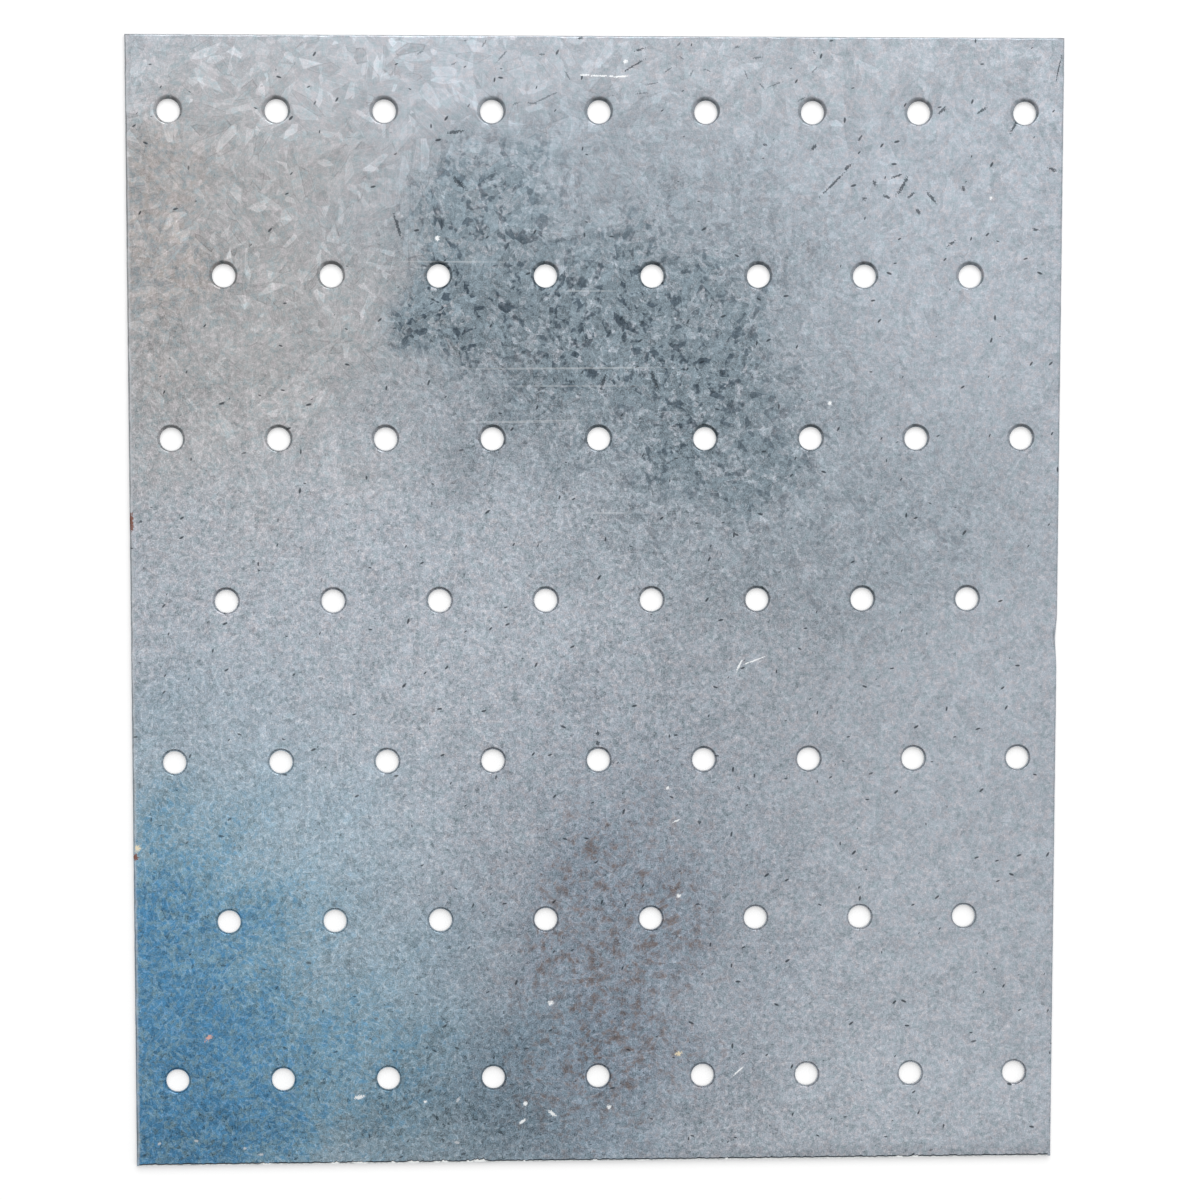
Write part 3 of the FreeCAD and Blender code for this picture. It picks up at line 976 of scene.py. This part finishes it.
# %% [markdown]
# ## Pits, scratches and spots
#
# Tiny pits lie all over the zinc, so they are scattered at random: a share of the cells of a pattern have
# one. The larger marks are the transfers that the sheet carries. Grain and clots shake their outlines,
# because a clean oval would look drawn.

# %% Pits, scratches and spots
def scattered_pits(place, spacing, share, size, way, spread):
    """A share of the cells have a pit, of random size, turned about one way by up to the spread."""
    (turn, scale, luck), seed = cells(place, spacing)
    laid = turned(place - seed, (turn - 0.5) * np.radians(-2 * spread) - np.radians(way))
    reach = calc("LENGTH", laid * (1 / size[0], 1 / size[1], 0.0))
    return ramp(reach, scale + 0.45, scale * 0.6 + 0.2) * ramp(luck, share, share * 0.9)


def transfer(layer):
    """How strongly a mark of a layer shows, and its colour."""
    own, mark_colour = (
        add_node("ShaderNodeAttribute", {}, attribute_name=f"mark_{kind}_{layer}")
        for kind in ("place", "colour")
    )
    split = add_node("ShaderNodeSeparateXYZ", {0: Wire(own.outputs["Vector"])})
    flat = add_node("ShaderNodeCombineXYZ", {0: Wire(split.outputs[0]), 1: Wire(split.outputs[1])})
    reach = calc("LENGTH", Wire(flat.outputs[0])) + (grain - 0.5) * 1.8 + (clot - 0.5) * 1.6
    return ramp(reach, 1.15, 0.65) * Wire(split.outputs[2]), Wire(mark_colour.outputs["Color"])


PIT_SHIFT = 53.0               # keeps the front's pits apart from the back's
pit_place = place_mm + front * PIT_SHIFT * FLAT
pits = scattered_pits(pit_place, spacing=3.4, share=0.25, size=(0.40, 0.16), way=32, spread=60)
colour = tint(colour, (*PIT_COLOUR, 1), pits * (0.8 - blue * 0.5))
for layer in range(MARK_LAYERS):
    mark_share, mark_colour = transfer(layer)
    colour = tint(colour, mark_colour, mark_share)
print(f"{len(tree.nodes)} nodes with the marks")

# %% [markdown]
# ## Cut steel, and the shine
#
# In the holes and along the cuts there is no zinc. The sheared wall is burnished steel and the torn band is
# darker. The sheet carries a number that says where it is cut. For the shine, every crystal leans a little
# in its own direction, so it catches another part of the room than the next one. A bump map could do that
# too, but it costs more time for the same look.

# %% Cut steel and the finished zinc
BURNISHED_STEEL, TORN_STEEL = (0.36, 0.37, 0.39, 1), (0.20, 0.195, 0.19, 1)
CRYSTAL_LEAN = 0.04
torn = ramp(height_mm, TEAR_HEIGHT + 0.04, TEAR_HEIGHT - 0.04)
steel = tint(BURNISHED_STEEL, TORN_STEEL, torn * 0.7) * (0.7 + 0.6 * grain)
colour = tint(colour, steel, cut)
colour = calc("MAXIMUM", colour, 0.0)
face_normal = Wire(add_node("ShaderNodeNewGeometry", {}).outputs["Normal"])
lean_across, lean_along = small[0] + broad[1] - 1.0, small[1] + broad[2] - 1.0
lean = Wire(add_node("ShaderNodeCombineXYZ", {0: lean_across, 1: lean_along}).outputs[0])
shader = tree.nodes["Principled BSDF"]
feed(shader.inputs["Base Color"], colour)
feed(shader.inputs["Roughness"], 0.29 + small[2] * 0.10 + pits * 0.2 + cut * 0.12)
feed(shader.inputs["Normal"], calc("NORMALIZE", face_normal + lean * CRYSTAL_LEAN))
shader.inputs["Metallic"].default_value = 1
sheet.data.materials.append(zinc)
print(f"zinc: {len(tree.nodes)} nodes")

# %% [markdown]
# ## Finish of the burr
#
# The burr is bare steel. Its fold is dark, and what was rubbed flat is bright. The ribbon
# carries its own shine at each point, and a little noise wears the border between the two.

# %% Finish of the burr
DARK_FOLD, RUBBED_STEEL = (0.04, 0.05, 0.06, 1), (0.80, 0.82, 0.82, 1)
burr_finish = bpy.data.materials.new("folded_burr")
burr_finish.use_nodes = True
tree = burr_finish.node_tree
burr_place = Wire(add_node("ShaderNodeTexCoord", {}).outputs["Object"])
worn, _ = mottling(burr_place * (1 / MM, 1 / MM, 0.0), 0.5, 2.0, 0.6)
shine = ramp(painted("chip") + (worn - 0.5) * 0.5, 0.1, 1.0)
shader = tree.nodes["Principled BSDF"]
feed(shader.inputs["Base Color"], tint(DARK_FOLD, RUBBED_STEEL, shine))
feed(shader.inputs["Roughness"], 0.5 - shine * 0.2)
shader.inputs["Metallic"].default_value = 1
burr.data.materials.append(burr_finish)
print(f"burr: {len(tree.nodes)} nodes")

# %% [markdown]
# ## The floor
#
# The plate lies on white paper. Under a plain light, white paper renders as a pale grey. To make it white
# without more light on the plate, the paper adds a little of its own light, but only as the camera, a
# reflection or a pane of glass sees it. The plate's shadow stays, because the rest of the paper's
# brightness still comes from the light.

# %% Floor
FLOOR_HALF = 2.0               # in metres
FLOOR_DROP = 0.00002           # keeps the floor just clear of the sheet's back
FLOOR_LIFT = 0.30
floor_turns = ((-1, -1), (1, -1), (1, 1), (-1, 1))
floor_corners = [(x * FLOOR_HALF, y * FLOOR_HALF, -FLOOR_DROP) for x, y in floor_turns]
floor_mesh = bpy.data.meshes.new("floor")
floor_mesh.from_pydata(floor_corners, [], [(0, 1, 2, 3)])
floor = bpy.data.objects.new("floor", floor_mesh)
bpy.context.scene.collection.objects.link(floor)
paper = bpy.data.materials.new("white_paper")
paper.use_nodes = True
tree = paper.node_tree
seen_by = add_node("ShaderNodeLightPath", {}).outputs
seen = calc("MAXIMUM", Wire(seen_by["Is Camera Ray"]), Wire(seen_by["Is Glossy Ray"]))
seen = calc("MAXIMUM", seen, Wire(seen_by["Is Transmission Ray"]))
shader = tree.nodes["Principled BSDF"]
shader.inputs["Base Color"].default_value = (0.9, 0.9, 0.9, 1)
shader.inputs["Roughness"].default_value = 1
shader.inputs["Specular IOR Level"].default_value = 0
shader.inputs["Emission Color"].default_value = (1, 1, 1, 1)
feed(shader.inputs["Emission Strength"], seen * FLOOR_LIFT)
floor_mesh.materials.append(paper)
print(f"floor {2 * FLOOR_HALF:.0f} m square")

# %% [markdown]
# ## The light
#
# Bare metal shows the room that it stands in, so the light is mostly a room: even walls, a large soft box
# overhead, some fill at the right and a darker stretch of wall on the near side. They are all the world's
# brightness by direction.

# %% Room
OVERHEAD = (0.04, -0.09, 0.995)
WALLS, SOFT_BOX, RIGHT_FILL, NEAR_SHADE = 0.42, 0.62, 0.3, 0.28
room = bpy.data.worlds.new("studio")
bpy.context.scene.world = room
room.use_nodes = True
tree = room.node_tree
direction = Wire(add_node("ShaderNodeTexCoord", {}).outputs["Generated"])
to_right, to_far, _ = map(Wire, add_node("ShaderNodeSeparateXYZ", {0: direction}).outputs)
soft_box = ramp(calc("DOT_PRODUCT", direction, OVERHEAD), 0.82, 0.94) * SOFT_BOX
right_fill = ramp(to_right, 0.25, 0.6) * RIGHT_FILL
near_shade = (ramp(to_far, -0.35, -0.65) - ramp(to_far, -0.90, -0.98)) * NEAR_SHADE
background = tree.nodes["Background"]
background.inputs["Color"].default_value = (1, 1, 1, 1)
feed(background.inputs["Strength"], soft_box + right_fill - near_shade + WALLS)
print(f"room of {len(tree.nodes)} nodes")

# %% [markdown]
# ## The lamp
#
# A room alone would light the rolled lips and edges from all sides. One large lamp at the far side gives
# them a lighter and a darker side. Its disk is a metre wide, so the shadow on the floor stays soft.

# %% Lamp
key_light = bpy.data.lights.new("key", "AREA")
key_light.shape = "DISK"
key_light.size = 1.0
key_light.energy = 5.5
key = bpy.data.objects.new("key", key_light)
key.location = (0.06, 0.76, 0.82)
key.rotation_euler = (-key.location).to_track_quat("-Z", "Y").to_euler()
bpy.context.scene.collection.objects.link(key)
print(f"lamp of {key_light.energy} W, {key.location.length:.2f} m away")

# %% [markdown]
# ## Finish
#
# The standard view transform shows a colour about as it is written, which suits a plain studio picture.

# %% Finish
bpy.context.scene.view_settings.view_transform = "Standard"
